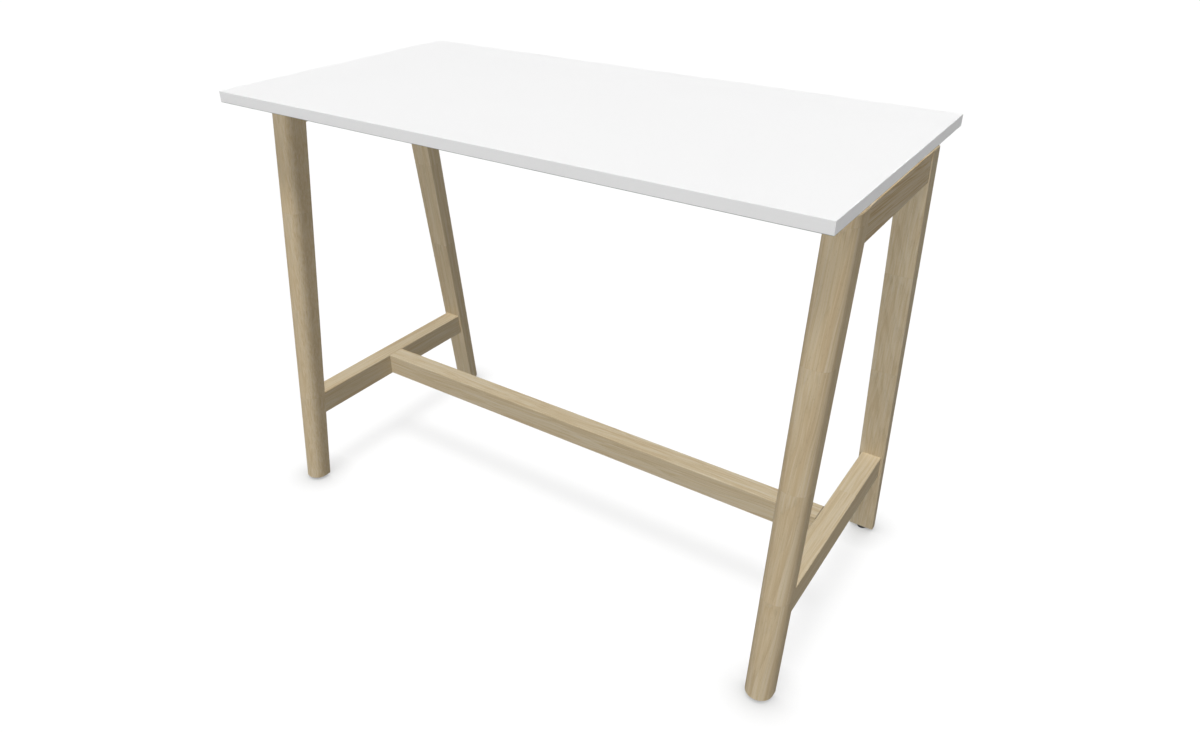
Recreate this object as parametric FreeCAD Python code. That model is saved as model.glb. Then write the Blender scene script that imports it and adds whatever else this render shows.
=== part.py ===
import FreeCAD, Part
import math
import os

# High table: a laminated white top on two splayed oak end frames, tied by one footrest rail.
# Millimetres. Origin on the floor under the middle of the top, +X along the top, +Y to the rear, +Z up.

# ---- driving dimensions -------------------------------------------------------------------
HEIGHT = 1050.0            # floor to top surface
TOP_L, TOP_W, TOP_T = 1400.0, 700.0, 24.0
SHEET_T = 0.8              # laminate face and balancing sheet
BAND_T = 2.0               # edge band thickness
BAND_R = 1.0               # eased outer corners of the edge bands

GAP = 8.0                  # shadow gap between frame and top
FRAME_TOP = HEIGHT - TOP_T - GAP
LEG_BOTTOM = 7.0           # leg end above the floor, feet fully screwed in

LEG_X = 667.5              # centre plane of each end frame
LEG_W = 60.0               # leg width along X
LEG_Y0 = 170.84            # inner leg face at the level of the top surface
LEG_SPLAY = 0.1225         # inner leg face moves out this much per unit of depth
LEG_D0, LEG_D1 = 59.0, 44.7    # leg depth along Y at the top surface level, and 1040 lower
LEG_R0, LEG_R1 = 20.0, 29.5    # outer corner rounding at those two levels
LEG_ARRIS = 2.0            # rounding of the inner leg edges
LEG_EASE = 1.2             # eased leg ends

TOPBAR_W, TOPBAR_H = 56.0, 64.0
LOWBAR_W, LOWBAR_H = 47.0, 59.5
LOWBAR_TOP = 250.0
RAIL_W, RAIL_H = 48.0, 58.0
BAR_ARRIS = 2.0            # rounding along the bars

DOWEL_D, DOWEL_L = 10.0, 60.0
DOWEL_FIT = 0.1            # glue gap round a dowel, radial
TOP_DOWEL_Z = (1000.0, 972.0)
LOW_DOWEL_Z = (235.0, 206.0)
TOP_DOWEL_IN_LEG, LOW_DOWEL_IN_LEG = 28.0, 26.0

BOLT_Y = (-115.0, 0.0, 115.0)  # fixings of the top along each top crossbar
BOLT_D, BOLT_HEAD_D, BOLT_HEAD_H, BOLT_L = 6.0, 10.0, 6.0, 52.0
BOLT_SINK_D, BOLT_SINK_H = 20.0, 32.0
WASHER_D, WASHER_T = 18.0, 1.6
SPACER_D = 32.0
INSERT_D, INSERT_L = 11.0, 13.0

RAIL_Z = 221.0             # axis of the rail joints
RAIL_DOWEL_D, RAIL_DOWEL_L, RAIL_DOWEL_Y = 8.0, 50.0, 15.0
RAIL_BOLT_D = 8.0
RAIL_INSERT_D, RAIL_INSERT_L = 12.0, 22.0
RAIL_POCKET_R, RAIL_POCKET_IN, RAIL_POCKET_TOP = 15.0, 52.0, 234.0

FOOT_Y = 311.0             # foot axis
FOOT_INSERT_D, FOOT_INSERT_L = 12.0, 20.0
FOOT_STEM_R, FOOT_FIT = 4.0, 0.05
FOOT_STEM_TOP = 36.0
PAD_R, PAD_H = 11.5, 4.6
HEX_AF = 13.0

V = FreeCAD.Vector
os.makedirs("parts", exist_ok=True)


def save(name, shape):
    solids = shape.Solids
    if not shape.isValid() or not solids or min(s.Volume for s in solids) <= 0:
        raise RuntimeError("bad shape: " + name)
    shape = solids[0] if len(solids) == 1 else Part.makeCompound(solids)
    shape.exportStep("parts/%s.step" % name)
    print("%-26s solids %d  volume %.1f cm3" % (name, len(solids), shape.Volume / 1000.0))


def mirror_x(s):
    return s.mirror(V(0, 0, 0), V(1, 0, 0))


def mirror_y(s):
    return s.mirror(V(0, 0, 0), V(0, 1, 0))


def cyl(r, h, base, axis):
    return Part.makeCylinder(r, h, V(*base), V(*axis))


def lathe(points, base, axis=(0, 0, 1)):
    """Solid of revolution of (radius, height) points about +Z, then set on base along axis."""
    wire = Part.makePolygon([V(r, 0, z) for r, z in points] + [V(points[0][0], 0, points[0][1])])
    solid = Part.Face(wire).revolve(V(0, 0, 0), V(0, 0, 1), 360)
    solid.Placement = FreeCAD.Placement(V(*base), FreeCAD.Rotation(V(0, 0, 1), V(*axis)))
    return solid


def inner_y(z):
    return LEG_Y0 + LEG_SPLAY * (HEIGHT - z)


def group(shapes):
    return Part.makeCompound(shapes)


# ---- top ----------------------------------------------------------------------------------
CORE_L, CORE_W = TOP_L - 2 * BAND_T, TOP_W - 2 * BAND_T
z_under = HEIGHT - TOP_T


def slab(x, y, z0, z1):
    return Part.makeBox(x, y, z1 - z0, V(-x / 2, -y / 2, z0))


fix_points = [(sx * LEG_X, y) for sx in (-1, 1) for y in BOLT_Y]
core = slab(CORE_L, CORE_W, z_under + SHEET_T, HEIGHT - SHEET_T)
backing = slab(CORE_L, CORE_W, z_under, z_under + SHEET_T)
for x, y in fix_points:
    core = core.cut(cyl(INSERT_D / 2 + DOWEL_FIT, INSERT_L + 2.0 + SHEET_T, (x, y, z_under - SHEET_T), (0, 0, 1)))
    backing = backing.cut(cyl(INSERT_D / 2 + DOWEL_FIT, 3 * SHEET_T, (x, y, z_under - SHEET_T), (0, 0, 1)))
save("top_core_board", core)
save("underside_backing_sheet", backing)
save("top_laminate_sheet", slab(CORE_L, CORE_W, HEIGHT - SHEET_T, HEIGHT))


def on_plane(edge, coord, value):
    return all(abs(getattr(v.Point, coord) - value) < 1e-6 for v in edge.Vertexes)


# Long bands run the full length and cover the ends of the short ones.
front = Part.makeBox(TOP_L, BAND_T, TOP_T, V(-TOP_L / 2, -TOP_W / 2, z_under))
ends = []
for e in front.Edges:
    outer = [on_plane(e, "y", -TOP_W / 2), on_plane(e, "x", -TOP_L / 2), on_plane(e, "x", TOP_L / 2),
             on_plane(e, "z", HEIGHT), on_plane(e, "z", z_under)]
    if sum(outer) == 2 and not on_plane(e, "y", -TOP_W / 2 + BAND_T):
        ends.append(e)
front = front.makeFillet(BAND_R, ends)
side = Part.makeBox(BAND_T, CORE_W, TOP_T, V(TOP_L / 2 - BAND_T, -CORE_W / 2, z_under))
side = side.makeFillet(BAND_R, [e for e in side.Edges if on_plane(e, "x", TOP_L / 2)
                                and (on_plane(e, "z", HEIGHT) or on_plane(e, "z", z_under))])
save("edge_band_front", front)
save("edge_band_rear", mirror_y(front))
save("edge_band_right", side)
save("edge_band_left", mirror_x(side))


# ---- legs ---------------------------------------------------------------------------------
def leg_section(z, inset):
    """Outline of the front right leg at one level: flat inner face, flat sides, rounded outer face."""
    depth = HEIGHT - z
    k = depth / 1040.0
    hw = LEG_W / 2 - inset
    yi = -(LEG_Y0 + LEG_SPLAY * depth) - inset
    yo = -(LEG_Y0 + LEG_SPLAY * depth) - (LEG_D0 + (LEG_D1 - LEG_D0) * k) + inset
    r = min(LEG_R0 + (LEG_R1 - LEG_R0) * k - inset, hw - 0.4)
    a = max(LEG_ARRIS - 0.5 * inset, 0.8)
    c = math.sqrt(0.5)

    def arc(cx, cy, rad, p, q, mx, my):
        return Part.Arc(V(cx + rad * p[0], cy + rad * p[1], z), V(cx + rad * mx, cy + rad * my, z),
                        V(cx + rad * q[0], cy + rad * q[1], z)).toShape()

    def line(x0, y0, x1, y1):
        return Part.makeLine(V(x0, y0, z), V(x1, y1, z))

    x = LEG_X
    edges = [
        line(x - hw + a, yi, x + hw - a, yi),
        arc(x + hw - a, yi - a, a, (0, 1), (1, 0), c, c),
        line(x + hw, yi - a, x + hw, yo + r),
        arc(x + hw - r, yo + r, r, (1, 0), (0, -1), c, -c),
        line(x + hw - r, yo, x - hw + r, yo),
        arc(x - hw + r, yo + r, r, (0, -1), (-1, 0), -c, -c),
        line(x - hw, yo + r, x - hw, yi - a),
        arc(x - hw + a, yi - a, a, (-1, 0), (0, 1), -c, c),
    ]
    return Part.Wire(edges)


leg = Part.makeLoft([leg_section(LEG_BOTTOM, LEG_EASE), leg_section(LEG_BOTTOM + LEG_EASE, 0.0),
                     leg_section(FRAME_TOP - LEG_EASE, 0.0), leg_section(FRAME_TOP, LEG_EASE)], True, True)

dowel_r, hole_r = DOWEL_D / 2 - DOWEL_FIT / 2, DOWEL_D / 2 + DOWEL_FIT / 2
front_joints = [(z, inner_y(z), TOP_DOWEL_IN_LEG) for z in TOP_DOWEL_Z]
front_joints += [(z, inner_y(z), LOW_DOWEL_IN_LEG) for z in LOW_DOWEL_Z]
for z, yi, inside in front_joints:
    leg = leg.cut(cyl(hole_r, inside + 2.0 + 20.0, (LEG_X, -yi - inside - 2.0, z), (0, 1, 0)))

# Foot socket in the leg end: flange recess, insert hole and room for the stem above.
leg = leg.cut(cyl(8.1, 1.3 + 5.0, (LEG_X, -FOOT_Y, LEG_BOTTOM - 5.0), (0, 0, 1)))
leg = leg.cut(cyl(FOOT_INSERT_D / 2 + DOWEL_FIT, FOOT_INSERT_L + 0.5, (LEG_X, -FOOT_Y, LEG_BOTTOM), (0, 0, 1)))
leg = leg.cut(cyl(5.0, 36.0, (LEG_X, -FOOT_Y, LEG_BOTTOM), (0, 0, 1)))

save("front_right_leg", leg)
save("front_left_leg", mirror_x(leg))
save("rear_right_leg", mirror_y(leg))
save("rear_left_leg", mirror_y(mirror_x(leg)))


# ---- crossbars ----------------------------------------------------------------------------
def rounded_bar(w, h, r, length, x, z0):
    """Bar along Y with rounded long edges, centred on x, standing on z0."""
    box = Part.makeBox(w, length, h, V(x - w / 2, -length / 2, z0))
    along = [e for e in box.Edges if abs(e.Vertexes[0].Point.y - e.Vertexes[1].Point.y) > 1.0]
    return box.makeFillet(r, along)


def crossbar(w, h, top, dowel_z, in_leg):
    bar = rounded_bar(w, h, BAR_ARRIS, 2 * inner_y(top - h) + 40.0, LEG_X, top - h)
    # The ends follow the inner faces of the splayed legs.
    a, b = top + 30.0, top - h - 30.0
    outline = Part.makePolygon([V(LEG_X - 50, -inner_y(a), a), V(LEG_X - 50, inner_y(a), a),
                                V(LEG_X - 50, inner_y(b), b), V(LEG_X - 50, -inner_y(b), b),
                                V(LEG_X - 50, -inner_y(a), a)])
    bar = bar.common(Part.Face(outline).extrude(V(100, 0, 0)))
    for z in dowel_z:
        for s in (-1, 1):
            start = inner_y(z) - (DOWEL_L - in_leg) - 2.0
            bar = bar.cut(cyl(hole_r, DOWEL_L, (LEG_X, s * start, z), (0, s, 0)))
    return bar


top_bar = crossbar(TOPBAR_W, TOPBAR_H, FRAME_TOP, TOP_DOWEL_Z, TOP_DOWEL_IN_LEG)
for y in BOLT_Y:
    top_bar = top_bar.cut(cyl(BOLT_D / 2 + 0.5, TOPBAR_H + 20, (LEG_X, y, FRAME_TOP - TOPBAR_H - 10), (0, 0, 1)))
    top_bar = top_bar.cut(cyl(BOLT_SINK_D / 2, BOLT_SINK_H + 10, (LEG_X, y, FRAME_TOP - TOPBAR_H - 10), (0, 0, 1)))
save("right_top_crossbar", top_bar)
save("left_top_crossbar", mirror_x(top_bar))

low_bar = crossbar(LOWBAR_W, LOWBAR_H, LOWBAR_TOP, LOW_DOWEL_Z, LOW_DOWEL_IN_LEG)
joint_x = LEG_X - LOWBAR_W / 2
rail_dowel_r = RAIL_DOWEL_D / 2 - DOWEL_FIT / 2
rail_hole_r = RAIL_DOWEL_D / 2 + DOWEL_FIT / 2
low_bar = low_bar.cut(cyl(RAIL_INSERT_D / 2 + DOWEL_FIT, RAIL_INSERT_L + 3.0 + 10.0, (joint_x - 10, 0, RAIL_Z), (1, 0, 0)))
for s in (-1, 1):
    low_bar = low_bar.cut(cyl(rail_hole_r, RAIL_DOWEL_L / 2 + 2.0 + 10.0, (joint_x - 10, s * RAIL_DOWEL_Y, RAIL_Z), (1, 0, 0)))
save("right_lower_crossbar", low_bar)
save("left_lower_crossbar", mirror_x(low_bar))

# ---- footrest rail ------------------------------------------------------------------------
rail = Part.makeBox(2 * joint_x, RAIL_W, RAIL_H, V(-joint_x, -RAIL_W / 2, LOWBAR_TOP - RAIL_H))
rail = rail.makeFillet(BAR_ARRIS, [e for e in rail.Edges
                                   if abs(e.Vertexes[0].Point.x - e.Vertexes[1].Point.x) > 1.0])
pocket_x = joint_x - RAIL_POCKET_IN
rail_z0 = LOWBAR_TOP - RAIL_H
for s in (-1, 1):
    rail = rail.cut(cyl(RAIL_POCKET_R, RAIL_POCKET_TOP - rail_z0 + 10, (s * pocket_x, 0, rail_z0 - 10), (0, 0, 1)))
    rail = rail.cut(cyl(RAIL_BOLT_D / 2 + 0.5, RAIL_POCKET_IN + 10, (s * pocket_x, 0, RAIL_Z), (s, 0, 0)))
    for t in (-1, 1):
        rail = rail.cut(cyl(rail_hole_r, RAIL_DOWEL_L / 2 + 2.0 + 10.0,
                            (s * (joint_x - RAIL_DOWEL_L / 2 - 2.0), t * RAIL_DOWEL_Y, RAIL_Z), (s, 0, 0)))
save("footrest_rail", rail)


# ---- dowels -------------------------------------------------------------------------------
def dowel(r, length, base, axis):
    """Wooden dowel with chamfered ends and shallow glue grooves round it."""
    body = lathe([(0, 0), (r - 1.0, 0), (r, 1.5), (r, length - 1.5), (r - 1.0, length), (0, length)], (0, 0, 0))
    for i in range(6):
        a = 2 * math.pi * i / 6
        body = body.cut(cyl(0.6, length + 2, (r * math.cos(a), r * math.sin(a), -1), (0, 0, 1)))
    body.Placement = FreeCAD.Placement(V(*base), FreeCAD.Rotation(V(0, 0, 1), V(*axis)))
    return body


frame_dowels = []
for z, yi, inside in front_joints:
    for s in (-1, 1):
        frame_dowels.append(dowel(dowel_r, DOWEL_L, (LEG_X, s * (yi - (DOWEL_L - inside)), z), (0, s, 0)))
save("right_frame_dowels", group(frame_dowels))
save("left_frame_dowels", group([mirror_x(d) for d in frame_dowels]))
rail_dowels = []
for s in (-1, 1):
    for t in (-1, 1):
        rail_dowels.append(dowel(rail_dowel_r, RAIL_DOWEL_L,
                                 (s * (joint_x - RAIL_DOWEL_L / 2), t * RAIL_DOWEL_Y, RAIL_Z), (s, 0, 0)))
save("rail_dowels", group(rail_dowels))


# ---- fixings of the top -------------------------------------------------------------------
def hexagon(af, h, base, axis=(0, 0, 1)):
    r = af / math.sqrt(3.0)
    pts = [V(r * math.cos(math.pi / 3 * i), r * math.sin(math.pi / 3 * i), 0) for i in range(7)]
    solid = Part.Face(Part.makePolygon(pts)).extrude(V(0, 0, h))
    # Rounded-off corners, as on a turned hexagon.
    solid = solid.common(lathe([(0, 0), (r * 0.94, 0), (r * 1.02, h * 0.2), (r * 1.02, h * 0.8), (r * 0.94, h), (0, h)], (0, 0, 0)))
    solid.Placement = FreeCAD.Placement(V(*base), FreeCAD.Rotation(V(0, 0, 1), V(*axis)))
    return solid


def screw_insert(d, bore, length, base, axis, flange=None):
    """Threaded insert: sleeve with coarse outer ridges, a plain bore and an optional flange."""
    r, b = d / 2, bore / 2
    pts = [(b, 0)]
    if flange:
        pts += [(flange[0] / 2, 0), (flange[0] / 2, flange[1]), (r - 0.9, flange[1])]
        z0 = flange[1]
    else:
        pts += [(r - 0.9, 0)]
        z0 = 0.0
    n = int((length - z0 - 2.0) / 2.5)
    for i in range(n):
        z = z0 + 1.0 + 2.5 * i
        pts += [(r - 0.9, z), (r, z + 0.8), (r, z + 1.3), (r - 0.9, z + 2.1)]
    pts += [(r - 0.9, length - 0.6), (r - 1.4, length), (b, length)]
    return lathe(pts, base, axis)


bolt_seat = FRAME_TOP - TOPBAR_H + BOLT_SINK_H
head_top = bolt_seat - WASHER_T
spacers, inserts, bolts, washers = [], [], [], []
for y in BOLT_Y:
    spacers.append(lathe([(3.5, 0), (SPACER_D / 2 - 0.8, 0), (SPACER_D / 2, 0.8), (SPACER_D / 2, GAP - 0.8),
                          (SPACER_D / 2 - 0.8, GAP), (3.5, GAP)], (LEG_X, y, FRAME_TOP)))
    inserts.append(screw_insert(INSERT_D, BOLT_D + 0.2, INSERT_L, (LEG_X, y, z_under), (0, 0, 1)))
    bolt = lathe([(0, 0), (BOLT_HEAD_D / 2 - 0.6, 0), (BOLT_HEAD_D / 2, 0.6), (BOLT_HEAD_D / 2, BOLT_HEAD_H),
                  (BOLT_D / 2, BOLT_HEAD_H), (BOLT_D / 2, BOLT_HEAD_H + BOLT_L - 1.0),
                  (BOLT_D / 2 - 1.0, BOLT_HEAD_H + BOLT_L), (0, BOLT_HEAD_H + BOLT_L)],
                 (LEG_X, y, head_top - BOLT_HEAD_H))
    bolt = bolt.cut(hexagon(5.0, 3.5, (LEG_X, y, head_top - BOLT_HEAD_H - 0.5)))
    bolts.append(bolt)
    washers.append(lathe([(BOLT_D / 2 + 0.2, 0), (WASHER_D / 2 - 0.3, 0), (WASHER_D / 2, 0.3), (WASHER_D / 2, WASHER_T - 0.3),
                          (WASHER_D / 2 - 0.3, WASHER_T), (BOLT_D / 2 + 0.2, WASHER_T)], (LEG_X, y, head_top)))
for name, items in (("top_spacers", spacers), ("top_inserts", inserts), ("top_bolts", bolts), ("top_washers", washers)):
    save("right_" + name, group(items))
    save("left_" + name, group([mirror_x(i) for i in items]))

# ---- fixings of the rail ------------------------------------------------------------------
stud, moon, nuts, rail_ins = [], [], [], []
chord = 9.0                # flat of the half-moon washer, from the pocket axis
nut_h = 6.5
for s in (-1, 1):
    rail_ins.append(screw_insert(RAIL_INSERT_D, RAIL_BOLT_D + 0.2, RAIL_INSERT_L, (s * joint_x, 0, RAIL_Z), (s, 0, 0)))
    x_end = pocket_x + chord - nut_h - 3.0
    length = joint_x + RAIL_INSERT_L - 2.0 - x_end
    stud.append(lathe([(0, 0), (RAIL_BOLT_D / 2 - 0.8, 0), (RAIL_BOLT_D / 2, 0.8), (RAIL_BOLT_D / 2, length - 0.8),
                       (RAIL_BOLT_D / 2 - 0.8, length), (0, length)], (s * x_end, 0, RAIL_Z), (s, 0, 0)))
    disc = cyl(RAIL_POCKET_R - 0.05, 16.0, (s * pocket_x, 0, RAIL_Z - 8.0), (0, 0, 1))
    keep = Part.makeBox(20, 40, 16, V(chord, -20, RAIL_Z - 8.0))
    keep.translate(V(pocket_x, 0, 0))
    if s < 0:
        keep = mirror_x(keep)
    m = disc.common(keep).cut(cyl(RAIL_BOLT_D / 2 + 0.3, 30, (s * (pocket_x + 2), 0, RAIL_Z), (s, 0, 0)))
    moon.append(m)
    nut = hexagon(13.0, nut_h, (s * (pocket_x + chord), 0, RAIL_Z), (-s, 0, 0))
    nuts.append(nut.cut(cyl(RAIL_BOLT_D / 2 + 0.1, 30, (s * (pocket_x - 10), 0, RAIL_Z), (s, 0, 0))))
save("rail_joint_bolts", group(stud))
save("rail_half_moon_washers", group(moon))
save("rail_nuts", group(nuts))
save("rail_inserts", group(rail_ins))

# ---- levelling feet -----------------------------------------------------------------------
corners = [(name, sx * LEG_X, sy * FOOT_Y) for name, sx, sy in
           (("front_left", -1, -1), ("front_right", 1, -1), ("rear_left", -1, 1), ("rear_right", 1, 1))]
save("foot_inserts", group([screw_insert(FOOT_INSERT_D, 2 * (FOOT_STEM_R + FOOT_FIT), FOOT_INSERT_L, (x, y, LEG_BOTTOM),
                                         (0, 0, 1), flange=(16.0, 1.2)) for _, x, y in corners]))
for name, x, y in corners:
    # Stem: captured head, neck, hexagon collar and screw.
    stem = lathe([(0, 1.9), (4.6, 1.9), (5.0, 2.3), (5.0, 3.0), (4.6, 3.4), (3.0, 3.4), (3.0, 5.2), (FOOT_STEM_R, 5.2),
                  (FOOT_STEM_R, FOOT_STEM_TOP - 1.0), (FOOT_STEM_R - 1.0, FOOT_STEM_TOP), (0, FOOT_STEM_TOP)], (x, y, 0))
    stem = stem.fuse(hexagon(HEX_AF, 1.7, (x, y, 4.9))).removeSplitter()
    save(name + "_foot_stem", stem)
    # Pad: round glide with an eased rim, an undercut socket for the head and a mouth round the neck.
    pad = lathe([(0, 0), (PAD_R - 1.4, 0), (PAD_R - 0.4, 0.5), (PAD_R, 1.5), (PAD_R, 3.2), (PAD_R - 0.4, 4.1),
                 (PAD_R - 1.3, PAD_H), (3.5, PAD_H), (3.5, 3.8), (5.4, 3.8), (5.4, 1.5), (0, 1.5)], (x, y, 0))
    save(name + "_foot_pad", pad)
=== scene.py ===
import math

import bpy
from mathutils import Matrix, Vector

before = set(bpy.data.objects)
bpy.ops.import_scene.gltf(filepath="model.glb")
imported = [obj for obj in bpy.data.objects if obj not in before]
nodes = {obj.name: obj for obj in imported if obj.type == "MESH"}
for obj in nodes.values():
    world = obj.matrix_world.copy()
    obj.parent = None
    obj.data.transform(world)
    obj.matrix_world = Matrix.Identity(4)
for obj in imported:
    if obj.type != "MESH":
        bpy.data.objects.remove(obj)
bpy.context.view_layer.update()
scene = bpy.context.scene


# ---------------------------------------------------------------- node helper
class Graph:
    """A small helper that writes a material's nodes."""

    def __init__(self, name):
        self.mat = bpy.data.materials.new(name)
        self.mat.use_nodes = True
        self.tree = self.mat.node_tree
        self.tree.nodes.clear()
        self.out = self.node("ShaderNodeOutputMaterial")

    def node(self, kind, **props):
        n = self.tree.nodes.new(kind)
        for k, v in props.items():
            setattr(n, k, v)
        return n

    def feed(self, socket, value):
        if value is None:
            return
        if isinstance(value, bpy.types.NodeSocket):
            self.tree.links.new(value, socket)
        else:
            socket.default_value = value

    def math(self, op, a, b=None, c=None, clamp=False):
        n = self.node("ShaderNodeMath", operation=op, use_clamp=clamp)
        for s, v in zip(n.inputs, (a, b, c)):
            self.feed(s, v)
        return n.outputs[0]

    def vmath(self, op, a, b=None, c=None, scale=None):
        n = self.node("ShaderNodeVectorMath", operation=op)
        for s, v in zip(n.inputs, (a, b, c)):
            self.feed(s, v)
        if scale is not None:
            self.feed(n.inputs["Scale"], scale)
        return n.outputs["Value" if op in ("DOT_PRODUCT", "LENGTH", "DISTANCE") else "Vector"]

    def xyz(self, x, y, z):
        n = self.node("ShaderNodeCombineXYZ")
        for s, v in zip(n.inputs, (x, y, z)):
            self.feed(s, v)
        return n.outputs[0]

    def split(self, v):
        n = self.node("ShaderNodeSeparateXYZ")
        self.feed(n.inputs[0], v)
        return n.outputs

    def noise(self, vector, scale=1.0, detail=2.0, rough=0.5, distortion=0.0, colour=False):
        n = self.node("ShaderNodeTexNoise", noise_dimensions="3D")
        self.feed(n.inputs["Vector"], vector)
        n.inputs["Scale"].default_value = scale
        n.inputs["Detail"].default_value = detail
        n.inputs["Roughness"].default_value = rough
        n.inputs["Distortion"].default_value = distortion
        return n.outputs["Color" if colour else "Fac"]

    def voronoi(self, vector, scale=1.0, feature="F1", output="Distance", randomness=1.0):
        n = self.node("ShaderNodeTexVoronoi", voronoi_dimensions="3D", feature=feature)
        self.feed(n.inputs["Vector"], vector)
        n.inputs["Scale"].default_value = scale
        n.inputs["Randomness"].default_value = randomness
        return n.outputs[output]

    def white(self, w):
        n = self.node("ShaderNodeTexWhiteNoise", noise_dimensions="1D")
        self.feed(n.inputs["W"], w)
        return n.outputs

    def span(self, value, a, b, low=0.0, high=1.0, smooth=True):
        n = self.node("ShaderNodeMapRange", clamp=True)
        n.interpolation_type = "SMOOTHSTEP" if smooth else "LINEAR"
        for s, v in zip(n.inputs, (value, a, b, low, high)):
            self.feed(s, v)
        return n.outputs[0]

    def ramp(self, fac, stops, mode="LINEAR"):
        n = self.node("ShaderNodeValToRGB")
        n.color_ramp.interpolation = mode
        e = n.color_ramp.elements
        while len(e) < len(stops):
            e.new(0.5)
        for el, (pos, col) in zip(e, stops):
            el.position = pos
            el.color = (*col, 1.0)
        self.feed(n.inputs[0], fac)
        return n.outputs[0]

    def mix(self, fac, a, b, mode="MIX"):
        n = self.node("ShaderNodeMix", data_type="RGBA", blend_type=mode)
        self.feed(n.inputs[0], fac)
        self.feed(n.inputs[6], a)
        self.feed(n.inputs[7], b)
        return n.outputs[2]

    def scaled(self, colour, factor):
        return self.vmath("SCALE", colour, scale=factor)

    def bump(self, height, strength, distance, normal=None):
        n = self.node("ShaderNodeBump")
        n.inputs["Strength"].default_value = strength
        n.inputs["Distance"].default_value = distance
        self.feed(n.inputs["Height"], height)
        self.feed(n.inputs["Normal"], normal)
        return n.outputs[0]

    def place(self):
        return self.node("ShaderNodeTexCoord").outputs["Object"]

    def principled(self, colour, rough, normal=None, metallic=0.0, specular=0.5, coat=0.0, coat_rough=0.2):
        n = self.node("ShaderNodeBsdfPrincipled")
        self.feed(n.inputs["Base Color"], colour)
        self.feed(n.inputs["Roughness"], rough)
        self.feed(n.inputs["Normal"], normal)
        n.inputs["Metallic"].default_value = metallic
        n.inputs["Specular IOR Level"].default_value = specular
        n.inputs["Coat Weight"].default_value = coat
        n.inputs["Coat Roughness"].default_value = coat_rough
        self.tree.links.new(n.outputs[0], self.out.inputs["Surface"])
        return self.mat


def srgb(r, g, b):
    """Linear colour of an 8-bit tone."""
    return tuple((c / 255 / 12.92) if c <= 10 else ((c / 255 + 0.055) / 1.055) ** 2.4 for c in (r, g, b))


# ---------------------------------------------------------------- oak
OAK_TONES = (  # brown streak, body, grey-cream streak: base colours
    (0.455, 0.350, 0.215),
    (0.515, 0.418, 0.275),
    (0.545, 0.462, 0.330),
)


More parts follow.
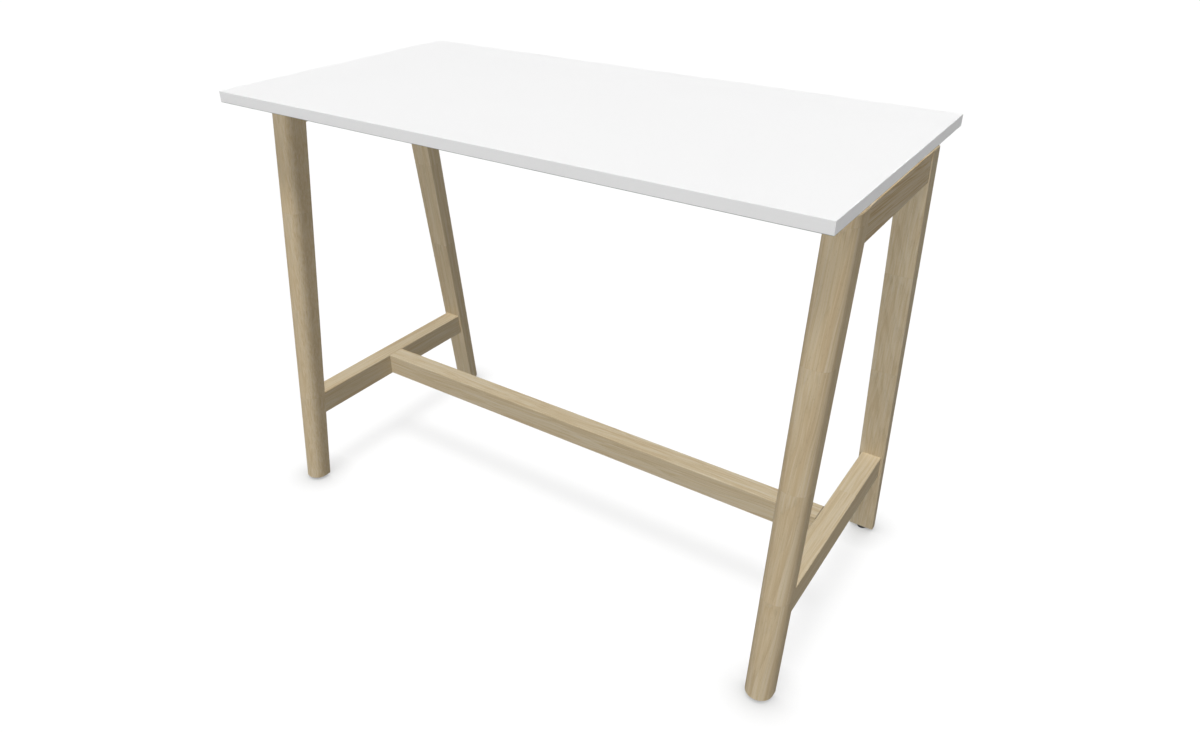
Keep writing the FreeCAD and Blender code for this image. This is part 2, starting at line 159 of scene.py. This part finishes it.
def oak(name, along, across, seed, centre, tilt, stave=None, tone=1.0, grey=0.0, sweep=None, ends=(), spread=1.0, painted_light_and_tone_steps=(), mark=None, close=False):
    """Pale oiled oak cut from one solid pattern: growth rings about an axis that lies off the member, streaks and pores
    that run along it.
    along and across are unit vectors, centre is where the pith lies (metres off the member's axis), tilt how fast it
    drifts along the length.
    stave is (position of one end joint, spacing) for a member that is end-joined from short staves cut alike.
    sweep is (across position, slope) of slanting figure beside the straight grain, ends are (position, depth) of the
    hairlines at a butt joint.
    spread scales the contrast of the streaks, drift lists (direction, from, to, depth) of tone changes along one
    direction, which are mostly painted shade and painted light on chosen faces or ends of a member and in one place a
    tone step at a joint, mark is where across a stave a small brown fleck lies below its upper joint, close makes the
    streaks narrower."""
    g = Graph(name)
    u_axis = Vector(along).normalized()
    v_axis = Vector(across)
    v_axis = (v_axis - u_axis * v_axis.dot(u_axis)).normalized()
    w_axis = u_axis.cross(v_axis)
    p = g.place()
    u = g.vmath("DOT_PRODUCT", p, tuple(u_axis))
    v = g.vmath("DOT_PRODUCT", p, tuple(v_axis))
    w = g.vmath("DOT_PRODUCT", p, tuple(w_axis))

    if stave:
        lap = g.math("DIVIDE", g.math("SUBTRACT", u, stave[0]), stave[1])
        index = g.math("FLOOR", lap)
        part = g.math("FRACT", lap)
        r1 = g.white(g.math("ADD", index, seed * 17.31))["Value"]
        run = g.math("MULTIPLY", part, stave[1])
    else:
        part = r1 = None
        run = u
    uu = g.math("ADD", run, seed * 3.7)
    vv, ww = v, w
    if sweep:
        beside = g.span(v, sweep[0] - 0.012, sweep[0] + 0.006, 0.0, 1.0)
        vv = g.math("ADD", v, g.math("MULTIPLY", beside, g.math("MULTIPLY", run, sweep[1])))

    # growth rings
    slow = g.noise(g.xyz(g.math("MULTIPLY", vv, 16.0), g.math("MULTIPLY", ww, 16.0), g.math("MULTIPLY", uu, 2.6)), 1.0, 2.0, 0.5, colour=True)
    s = g.split(slow)
    cv = g.math("MULTIPLY_ADD", run, tilt[0], centre[0])
    cw = g.math("MULTIPLY_ADD", run, tilt[1], centre[1])
    rv = g.math("ADD", g.math("SUBTRACT", vv, cv), g.math("MULTIPLY", g.math("SUBTRACT", s[0], 0.5), 0.020))
    rw = g.math("ADD", g.math("SUBTRACT", ww, cw), g.math("MULTIPLY", g.math("SUBTRACT", s[1], 0.5), 0.020))
    radius = g.math("SQRT", g.math("ADD", g.math("MULTIPLY", rv, rv), g.math("MULTIPLY", rw, rw)))
    ring_no = g.math("DIVIDE", radius, 0.0031)
    ring = g.math("FRACT", ring_no)
    early = g.ramp(ring, [(0.0, (1, 1, 1)), (0.20, (0.55, 0.55, 0.55)), (0.50, (0.10, 0.10, 0.10)), (0.88, (0.0, 0.0, 0.0)), (1.0, (1, 1, 1))])
    ring_tone = g.white(g.math("FLOOR", ring_no))["Value"]

    # streaks of four widths
    broad = g.noise(g.xyz(g.math("MULTIPLY", vv, 62.0), g.math("MULTIPLY", ww, 62.0), g.math("MULTIPLY", uu, 2.2)), 1.0, 2.0, 0.5)
    medium = g.noise(g.xyz(g.math("MULTIPLY", rv, 230.0), g.math("MULTIPLY", rw, 230.0), g.math("MULTIPLY", uu, 4.5)), 1.0, 1.0, 0.5)
    fine = g.noise(g.xyz(g.math("MULTIPLY", rv, 560.0), g.math("MULTIPLY", rw, 560.0), g.math("MULTIPLY", uu, 7.0)), 1.0, 1.0, 0.5)
    fibre = g.noise(g.xyz(g.math("MULTIPLY", vv, 1500.0), g.math("MULTIPLY", ww, 1500.0), g.math("MULTIPLY", uu, 36.0)), 1.0, 2.0, 0.6)
    wb, wm, wf, wr = (0.12, 0.32, 0.48, 0.08) if sweep or close else (0.20, 0.34, 0.36, 0.10)
    figure = g.math("ADD", g.math("ADD", g.math("MULTIPLY", broad, wb), g.math("MULTIPLY", medium, wm)), g.math("ADD", g.math("MULTIPLY", fine, wf), g.math("MULTIPLY", ring_tone, wr)))
    cool = (1.0 - 0.02 * grey, 1.0 + 0.01 * grey, 1.0 + 0.05 * grey)
    tones = [tuple((b + (c - b) * spread) * k for c, b, k in zip(t, OAK_TONES[1], cool)) for t in OAK_TONES]
    colour = g.ramp(figure, [(0.39, tones[0]), (0.50, tones[1]), (0.61, tones[2])])

    # pores: short dark dashes, crowded in the early wood
    cell = g.xyz(g.math("MULTIPLY", vv, 1150.0), g.math("MULTIPLY", ww, 1150.0), g.math("MULTIPLY", uu, 115.0))
    dash = g.voronoi(cell, 1.0)
    pick = g.split(g.voronoi(cell, 1.0, output="Color"))[0]
    crowd = g.math("MULTIPLY_ADD", early, 0.55, 0.12)
    there = g.math("LESS_THAN", pick, crowd)
    pore = g.math("MULTIPLY", g.span(dash, 0.10, 0.36, 1.0, 0.0), there)

    # rays: small pale flecks
    fleck = g.voronoi(g.xyz(g.math("MULTIPLY", vv, 420.0), g.math("MULTIPLY", ww, 60.0), g.math("MULTIPLY", uu, 130.0)), 1.0)
    ray = g.span(fleck, 0.08, 0.24, 1.0, 0.0)

    tone_f = g.math("SUBTRACT", 1.0 * tone, g.math("MULTIPLY", early, 0.050 * tone))
    tone_f = g.math("SUBTRACT", tone_f, g.math("MULTIPLY", pore, 0.26))
    tone_f = g.math("ADD", tone_f, g.math("MULTIPLY", g.math("SUBTRACT", fibre, 0.5), 0.10))
    tone_f = g.math("ADD", tone_f, g.math("MULTIPLY", ray, 0.022))
    if stave:
        # each stave has its own tone, a little deeper at one end, and a hairline of glue where two meet
        tone_f = g.math("ADD", tone_f, g.math("MULTIPLY", g.math("SUBTRACT", r1, 0.5), 0.010))
        tone_f = g.math("ADD", tone_f, g.math("MULTIPLY", g.math("SUBTRACT", 0.5, part), 0.035))
        gap = g.math("MULTIPLY", g.math("ABSOLUTE", g.math("SUBTRACT", g.math("FRACT", g.math("ADD", part, 0.5)), 0.5)), stave[1])
        glue = g.span(gap, 0.00015, 0.0007, 1.0, 0.0)
        tone_f = g.math("SUBTRACT", tone_f, g.math("MULTIPLY", glue, 0.06))
    if mark is not None:
        far = g.vmath("LENGTH", g.xyz(g.math("DIVIDE", g.math("SUBTRACT", g.math("ADD", v, g.math("MULTIPLY", g.math("SUBTRACT", s[0], 0.5), 0.010)), mark), 0.0050), g.math("DIVIDE", g.math("SUBTRACT", run, stave[1] - 0.014), 0.013), 0.0))
        tone_f = g.math("SUBTRACT", tone_f, g.math("MULTIPLY", g.span(far, 0.25, 1.0, 1.0, 0.0), 0.085))
    # painted shade and painted light on chosen faces and ends of the member, and tone steps at joints
    for way, start, stop, depth in painted_light_and_tone_steps:
        tone_f = g.math("SUBTRACT", tone_f, g.span(g.vmath("DOT_PRODUCT", p, way), start, stop, 0.0, depth))
    for where, depth in ends:
        line = g.span(g.math("ABSOLUTE", g.math("SUBTRACT", u, where)), 0.0005, 0.0024, 1.0, 0.0)
        tone_f = g.math("SUBTRACT", tone_f, g.math("MULTIPLY", line, depth))
    colour = g.scaled(colour, tone_f)

    rough = g.math("ADD", 0.74, g.math("ADD", g.math("MULTIPLY", pore, 0.16), g.math("MULTIPLY", g.math("SUBTRACT", medium, 0.5), 0.16)))
    relief = g.math("SUBTRACT", g.math("MULTIPLY", fibre, 0.35), g.math("ADD", pore, g.math("MULTIPLY", early, 0.12)))
    normal = g.bump(relief, 0.35, 0.00018)
    return g.principled(colour, rough, normal, specular=0.06)


# ---------------------------------------------------------------- boards, plastics and metal
def laminate(name, base, rough, mottle=0.012):
    """Satin laminate: a fine pearl texture, a very faint cloud in its tone and a few rub marks in its gloss."""
    g = Graph(name)
    p = g.place()
    pearl = g.noise(p, 1900.0, 2.0, 0.6)
    cloud = g.noise(p, 5.0, 3.0, 0.5)
    speck = g.noise(p, 420.0, 2.0, 0.5)
    t = g.math("ADD", 1.0, g.math("MULTIPLY", g.math("SUBTRACT", cloud, 0.5), mottle))
    t = g.math("ADD", t, g.math("MULTIPLY", g.math("SUBTRACT", speck, 0.5), mottle * 0.8))
    rub = g.noise(g.vmath("MULTIPLY", p, (3.0, 14.0, 9.0)), 1.0, 4.0, 0.6)
    r = g.math("ADD", rough, g.math("ADD", g.math("MULTIPLY", g.math("SUBTRACT", rub, 0.5), 0.10), g.math("MULTIPLY", g.math("SUBTRACT", pearl, 0.5), 0.06)))
    normal = g.bump(pearl, 0.12, 0.00005)
    return g.principled(g.scaled(base, t), r, normal, specular=0.12)


def edge_band(name, base, z_low):
    """Two millimetre edge band: fine extrusion lines along it, and a painted shade line that darkens its lower arris.
    """
    g = Graph(name)
    p = g.place()
    z = g.split(p)[2]
    lines = g.noise(g.vmath("MULTIPLY", p, (9.0, 9.0, 2600.0)), 1.0, 2.0, 0.5)
    cloud = g.noise(p, 14.0, 3.0, 0.5)
    pearl = g.noise(p, 1600.0, 1.0, 0.5)
    t = g.math("ADD", 1.0, g.math("ADD", g.math("MULTIPLY", g.math("SUBTRACT", lines, 0.5), 0.030), g.math("MULTIPLY", g.math("SUBTRACT", cloud, 0.5), 0.016)))
    # painted shade: the lowest millimetre or so of the band is darkened, standing in for the shade under its lower
    # arris
    low = g.span(z, z_low + 0.0005, z_low + 0.0018, 1.0, 0.0)
    t = g.math("MULTIPLY", t, g.math("SUBTRACT", 1.0, g.math("MULTIPLY", low, 0.72)))
    r = g.math("ADD", 0.36, g.math("MULTIPLY", g.math("SUBTRACT", pearl, 0.5), 0.12))
    normal = g.bump(g.math("ADD", g.math("MULTIPLY", lines, 0.6), g.math("MULTIPLY", pearl, 0.4)), 0.10, 0.00006)
    return g.principled(g.scaled(base, t), r, normal, specular=0.65)


def chipboard(name):
    """Core board: pressed flakes of several tones."""
    g = Graph(name)
    p = g.place()
    stretched = g.vmath("MULTIPLY", p, (260.0, 260.0, 700.0))
    flake = g.split(g.voronoi(stretched, 1.0, output="Color"))
    edge = g.voronoi(stretched, 1.0)
    fine = g.noise(p, 900.0, 3.0, 0.6)
    tone = g.math("ADD", g.math("MULTIPLY", flake[0], 0.7), g.math("MULTIPLY", fine, 0.3))
    colour = g.ramp(tone, [(0.1, (0.20, 0.13, 0.07)), (0.5, (0.38, 0.27, 0.15)), (0.9, (0.55, 0.43, 0.27))])
    normal = g.bump(g.math("ADD", edge, fine), 0.5, 0.0004)
    return g.principled(colour, g.math("ADD", 0.75, g.math("MULTIPLY", fine, 0.2)), normal, specular=0.2)


def moulded(name, base, rough, grain):
    """Moulded plastic: spark-eroded grain, faint flow marks and dust-dulled patches."""
    g = Graph(name)
    p = g.place()
    spark = g.voronoi(p, grain)
    flow = g.noise(p, 90.0, 3.0, 0.5)
    dust = g.noise(p, 260.0, 4.0, 0.6)
    t = g.math("ADD", 0.86, g.math("ADD", g.math("MULTIPLY", flow, 0.22), g.math("MULTIPLY", dust, 0.18)))
    r = g.math("ADD", rough, g.math("ADD", g.math("MULTIPLY", g.math("SUBTRACT", dust, 0.5), 0.22), g.math("MULTIPLY", g.math("SUBTRACT", spark, 0.4), 0.10)))
    return g.principled(g.scaled(base, t), r, g.bump(spark, 0.25, 0.00012), specular=0.45)


def zinc(name, axis):
    """Bright zinc-plated steel: turning lines round the axis, a pale bloom and small darker spots."""
    g = Graph(name)
    p = g.place()
    k = {"x": (2600.0, 60.0, 60.0), "z": (60.0, 60.0, 2600.0)}[axis]
    turning = g.noise(g.vmath("MULTIPLY", p, k), 1.0, 2.0, 0.5)
    bloom = g.noise(p, 340.0, 4.0, 0.6)
    spot = g.span(g.voronoi(p, 900.0), 0.06, 0.20, 1.0, 0.0)
    fac = g.math("SUBTRACT", g.math("ADD", g.math("MULTIPLY", bloom, 0.7), g.math("MULTIPLY", turning, 0.3)), g.math("MULTIPLY", spot, 0.10))
    colour = g.ramp(fac, [(0.25, (0.44, 0.45, 0.47)), (0.50, (0.58, 0.59, 0.61)), (0.75, (0.68, 0.69, 0.70))])
    r = g.math("ADD", 0.26, g.math("ADD", g.math("MULTIPLY", bloom, 0.22), g.math("MULTIPLY", spot, 0.12)))
    return g.principled(colour, r, g.bump(turning, 0.20, 0.00006), metallic=1.0)


# ---------------------------------------------------------------- which node gets which material
def paint(name, mat):
    o = nodes[name]
    if not o.data.materials:
        o.data.materials.append(mat)
    for i in range(len(o.data.materials)):
        o.data.materials[i] = mat


TONES = {"front_left_leg": 1.06, "front_right_leg": 1.06, "rear_left_leg": 1.04, "rear_right_leg": 1.04}
GREYS = {"front_left_leg": 0.0, "front_right_leg": 0.0, "rear_left_leg": 0.8, "rear_right_leg": 1.0}
MARKS = {"front_left_leg": 0.006, "front_right_leg": 0.014, "rear_left_leg": 0.004, "rear_right_leg": -0.014}
LEAN = 0.1157  # sideways run of a leg per unit of its height
STAVE = 0.250
for i, (name, sx, sy) in enumerate((("front_left_leg", -1, -1), ("front_right_leg", 1, -1), ("rear_left_leg", -1, 1), ("rear_right_leg", 1, 1))):
    axis = Vector((0.0, -sy * LEAN, 1.0)).normalized()
    start = axis.dot(Vector((0.0, sy * 0.271, 0.750)))  # an end joint at 750 mm above the floor
    slant = (sx * 0.6675, 0.20) if name == "front_left_leg" else None
    # painted shade: the front legs are darkened by up to 4.5 percent towards the floor, below about 0.22 m
    slow = [((0, 0, -1), -0.22, -0.04, 0.045)] if sy < 0 else []
    if name == "front_left_leg":
        # painted shade: the inner flank of the front left leg, which faces the middle under the top, is darkened by ten
        # percent
        slow.append(((1, 0, 0), sx * 0.6675 + 0.018, sx * 0.6675 + 0.0295, 0.10))
    paint(name, oak("oak_" + name, axis, (1, 0, 0), 3 + 5 * i, (sx * 0.6675 + 0.030, -0.255 * sy), (0.05, 0.02), (start, STAVE), TONES[name], GREYS[name], slant, spread=0.85, painted_light_and_tone_steps=slow, mark=sx * 0.6675 + MARKS[name]))
# on the right lower crossbar the top face is darkened by six percent and all but its outer face by two percent: painted
# shade, so the outer face reads lighter; the step at y = 0.097 is the wood's own tone step at its joint
# painted shade on the left lower crossbar: it darkens by seven percent towards its rear half, and its inner face is
# darkened by three percent
for name, sx, seed, tone, slow, joint in (("left_lower_crossbar", -1, 29, 0.985, (((0, 1, 0), -0.06, 0.06, 0.07), ((1, 0, 0), -0.6480, -0.6444, 0.03)), None), ("right_lower_crossbar", 1, 33, 1.10, (((0, 1, 0), 0.0965, 0.0975, 0.045), ((0, 0, 1), 0.2460, 0.2494, 0.06), ((-1, 0, 0), -0.6880, -0.6820, 0.02)), (0.097, 0.500))):
    paint(name, oak("oak_" + name, (0, 1, 0), (1, 0, 0), seed, (sx * 0.6675 - 0.02, -0.29), (0.008, 0.012), joint, tone=tone, grey=0.5, spread=0.95 if joint is None else 0.80, painted_light_and_tone_steps=slow, close=joint is not None))
for name, sx, seed in (("left_top_crossbar", -1, 41), ("right_top_crossbar", 1, 45)):
    paint(name, oak("oak_" + name, (0, 1, 0), (1, 0, 0), seed, (sx * 0.6675 - 0.03, -1.06), (0.02, 0.05), tone=1.00, grey=-0.5, spread=1.7))
# painted light: the front face of the footrest rail is made three percent lighter
paint("footrest_rail", oak("oak_footrest_rail", (1, 0, 0), (0, 1, 0), 53, (0.045, 0.190), (0.02, 0.03), grey=0.9, ends=((0.644, 0.50), (-0.644, 0.12)), painted_light_and_tone_steps=(((0, -1, 0), 0.0200, 0.0238, -0.030),)))

paint("top_laminate_sheet", laminate("white_laminate", (0.91, 0.91, 0.91), 0.55))
paint("underside_backing_sheet", laminate("backing_laminate", (0.72, 0.72, 0.71), 0.55, 0.03))
# painted light: the end bands get a lighter base than the front and rear bands, making up for the dimmer light on the
# ends of the top
for side, base in (("front", 0.89), ("rear", 0.89), ("left", 0.96), ("right", 0.96)):
    paint("edge_band_" + side, edge_band("white_edge_band_" + side, (base, base, base), 1.026))
paint("top_core_board", chipboard("core_board"))

paint("rail_dowels", oak("wood_rail_dowels", (1, 0, 0), (0, 1, 0), 61, (0.05, 0.20), (0.0, 0.0), tone=0.92))
for name, seed in (("left_frame_dowels", 67), ("right_frame_dowels", 71)):
    paint(name, oak("wood_" + name, (0, 1, 0), (1, 0, 0), seed, (0.0, 0.0), (0.0, 0.0), tone=0.92))
nylon = moulded("black_nylon", (0.018, 0.018, 0.019), 0.52, 2600.0)
for name in ("left_top_spacers", "right_top_spacers"):
    paint(name, nylon)
pad_plastic = moulded("black_foot_plastic", (0.014, 0.014, 0.015), 0.46, 2200.0)
steel_z = zinc("zinc_steel_upright", "z")
steel_x = zinc("zinc_steel_lengthwise", "x")
for corner in ("front_left", "front_right", "rear_left", "rear_right"):
    paint(corner + "_foot_pad", pad_plastic)
    paint(corner + "_foot_stem", steel_z)
for name in ("left_top_bolts", "right_top_bolts", "left_top_washers", "right_top_washers", "left_top_inserts", "right_top_inserts", "foot_inserts"):
    paint(name, steel_z)
for name in ("rail_joint_bolts", "rail_half_moon_washers", "rail_nuts", "rail_inserts"):
    paint(name, steel_x)


# ---------------------------------------------------------------- studio: floor, light, camera
def group(name, members):
    c = bpy.data.collections.new(name)
    for o in members:
        c.objects.link(o)
    return c


def floor_material():
    """A white sweep that stays evenly lit, with the soft contact shade that a low bar or a foot leaves on it.
    What it throws back at the table is set apart from what the camera sees of it."""
    g = Graph("studio_floor")
    path = g.node("ShaderNodeLightPath").outputs["Is Camera Ray"]
    ao = g.node("ShaderNodeAmbientOcclusion", samples=10, inside=False, only_local=False)
    ao.inputs["Distance"].default_value = 0.085
    e = g.node("ShaderNodeEmission")
    g.feed(e.inputs["Strength"], g.math("MULTIPLY", g.math("MULTIPLY_ADD", ao.outputs["AO"], 1.16, -0.16, clamp=True), FLOOR_SHOWS))
    d = g.node("ShaderNodeBsdfDiffuse")
    d.inputs["Color"].default_value = (0.20, 0.20, 0.20, 1.0)
    seen = g.node("ShaderNodeAddShader")
    g.tree.links.new(e.outputs[0], seen.inputs[0])
    g.tree.links.new(d.outputs[0], seen.inputs[1])
    back = g.node("ShaderNodeEmission")
    back.inputs["Strength"].default_value = FLOOR_GIVES
    both = g.node("ShaderNodeMixShader")
    g.tree.links.new(path, both.inputs[0])
    g.tree.links.new(back.outputs[0], both.inputs[1])
    g.tree.links.new(seen.outputs[0], both.inputs[2])
    g.tree.links.new(both.outputs[0], g.out.inputs["Surface"])
    g.mat.cycles.emission_sampling = "NONE"
    return g.mat


FLOOR_SHOWS, FLOOR_GIVES = 0.680, 0.275
bpy.ops.mesh.primitive_plane_add(size=80.0, location=(0.0, 0.0, -0.0004))
floor = bpy.context.object
floor.name = "studio_floor"
floor.data.materials.append(floor_material())

LEGS = ("front_left_leg", "front_right_leg", "rear_left_leg", "rear_right_leg")
LOW_BARS = ("footrest_rail", "left_lower_crossbar", "right_lower_crossbar")
legs = group("legs", [nodes[n] for n in LEGS])
not_legs = group("not_legs", [o for n, o in nodes.items() if n not in LEGS])
low_bars = group("low_bars", [nodes[n] for n in LOW_BARS])
bands = group("bands", [o for n, o in nodes.items() if n.startswith("edge_band_")])
ground = group("ground", [floor])


FAR = 400.0


def lamp(name, azimuth, elevation, angle, strength, onto=None, shade=False, only=None):
    """A broad far light. strength is what a facing white card would give back, onto is what it lights, if not all.
    It reaches every face that looks its way unless shade is set; only then narrows what may shade it."""
    a, e = math.radians(azimuth), math.radians(elevation)
    away = Vector((math.sin(a) * math.cos(e), -math.cos(a) * math.cos(e), math.sin(e)))
    data = bpy.data.lights.new(name, "AREA" if onto else "SUN")
    if onto:
        data.shape = "DISK"
        data.size = 2.0 * FAR * math.tan(math.radians(angle / 2.0))
        data.energy = strength * (math.pi * FAR) ** 2
    else:
        data.angle = math.radians(angle)
        data.energy = strength * math.pi
    data.use_shadow = shade
    data.cycles.use_multiple_importance_sampling = False
    o = bpy.data.objects.new(name, data)
    o.location = FAR * away
    o.rotation_euler = away.to_track_quat("Z", "Y").to_euler()
    if onto:
        o.light_linking.receiver_collection = onto
    if only:
        o.light_linking.blocker_collection = only
    scene.collection.objects.link(o)
    return o


# even light that reaches every face, whatever stands over it
lamp("sky", 0.0, 90.0, 179.0, 0.285)
lamp("left_fill", -90.0, 15.0, 40.0, 0.070)
lamp("rear_fill", 165.0, 15.0, 40.0, 0.170)
lamp("key", 5.0, 45.0, 25.0, 0.500)
# the steeper light, which the top keeps off the upper ends of the legs
lamp("high_on_legs", 22.0, 66.0, 12.0, 0.420, legs, shade=True)
lamp("high_on_rest", 22.0, 66.0, 12.0, 0.350, not_legs)
# a little from the right on the edges of the top
lamp("side_on_edges", 90.0, 10.0, 40.0, 0.075, bands)
# light from overhead on the floor, where the low bars leave their soft shade
lamp("overhead", 0.0, 90.0, 26.0, 1.06, ground, shade=True, only=low_bars)

world = bpy.data.worlds.new("studio")
scene.world = world
world.use_nodes = True
wt = world.node_tree
wt.nodes.clear()
w_out = wt.nodes.new("ShaderNodeOutputWorld")
w_mix = wt.nodes.new("ShaderNodeMixShader")
w_path = wt.nodes.new("ShaderNodeLightPath")
w_dim = wt.nodes.new("ShaderNodeBackground")
w_dim.inputs["Color"].default_value = (0.04, 0.04, 0.04, 1.0)
w_white = wt.nodes.new("ShaderNodeBackground")
w_white.inputs["Color"].default_value = (1.0, 1.0, 1.0, 1.0)
wt.links.new(w_path.outputs["Is Camera Ray"], w_mix.inputs[0])
wt.links.new(w_dim.outputs[0], w_mix.inputs[1])
wt.links.new(w_white.outputs[0], w_mix.inputs[2])
wt.links.new(w_mix.outputs[0], w_out.inputs["Surface"])

cam_data = bpy.data.cameras.new("camera")
cam_data.sensor_fit = "HORIZONTAL"
cam_data.sensor_width = 36.0
cam_data.lens = 26.508
cam_data.clip_start = 0.02
cam_data.clip_end = 200.0
cam = bpy.data.objects.new("camera", cam_data)
cam.location = (1.07687, -1.52468, 1.50884)
cam.rotation_euler = (math.radians(59.542), 0.0, math.radians(33.598))
scene.collection.objects.link(cam)
scene.camera = cam

scene.view_settings.view_transform = "Standard"
scene.view_settings.look = "None"
scene.view_settings.exposure = 0.0
scene.view_settings.gamma = 1.0
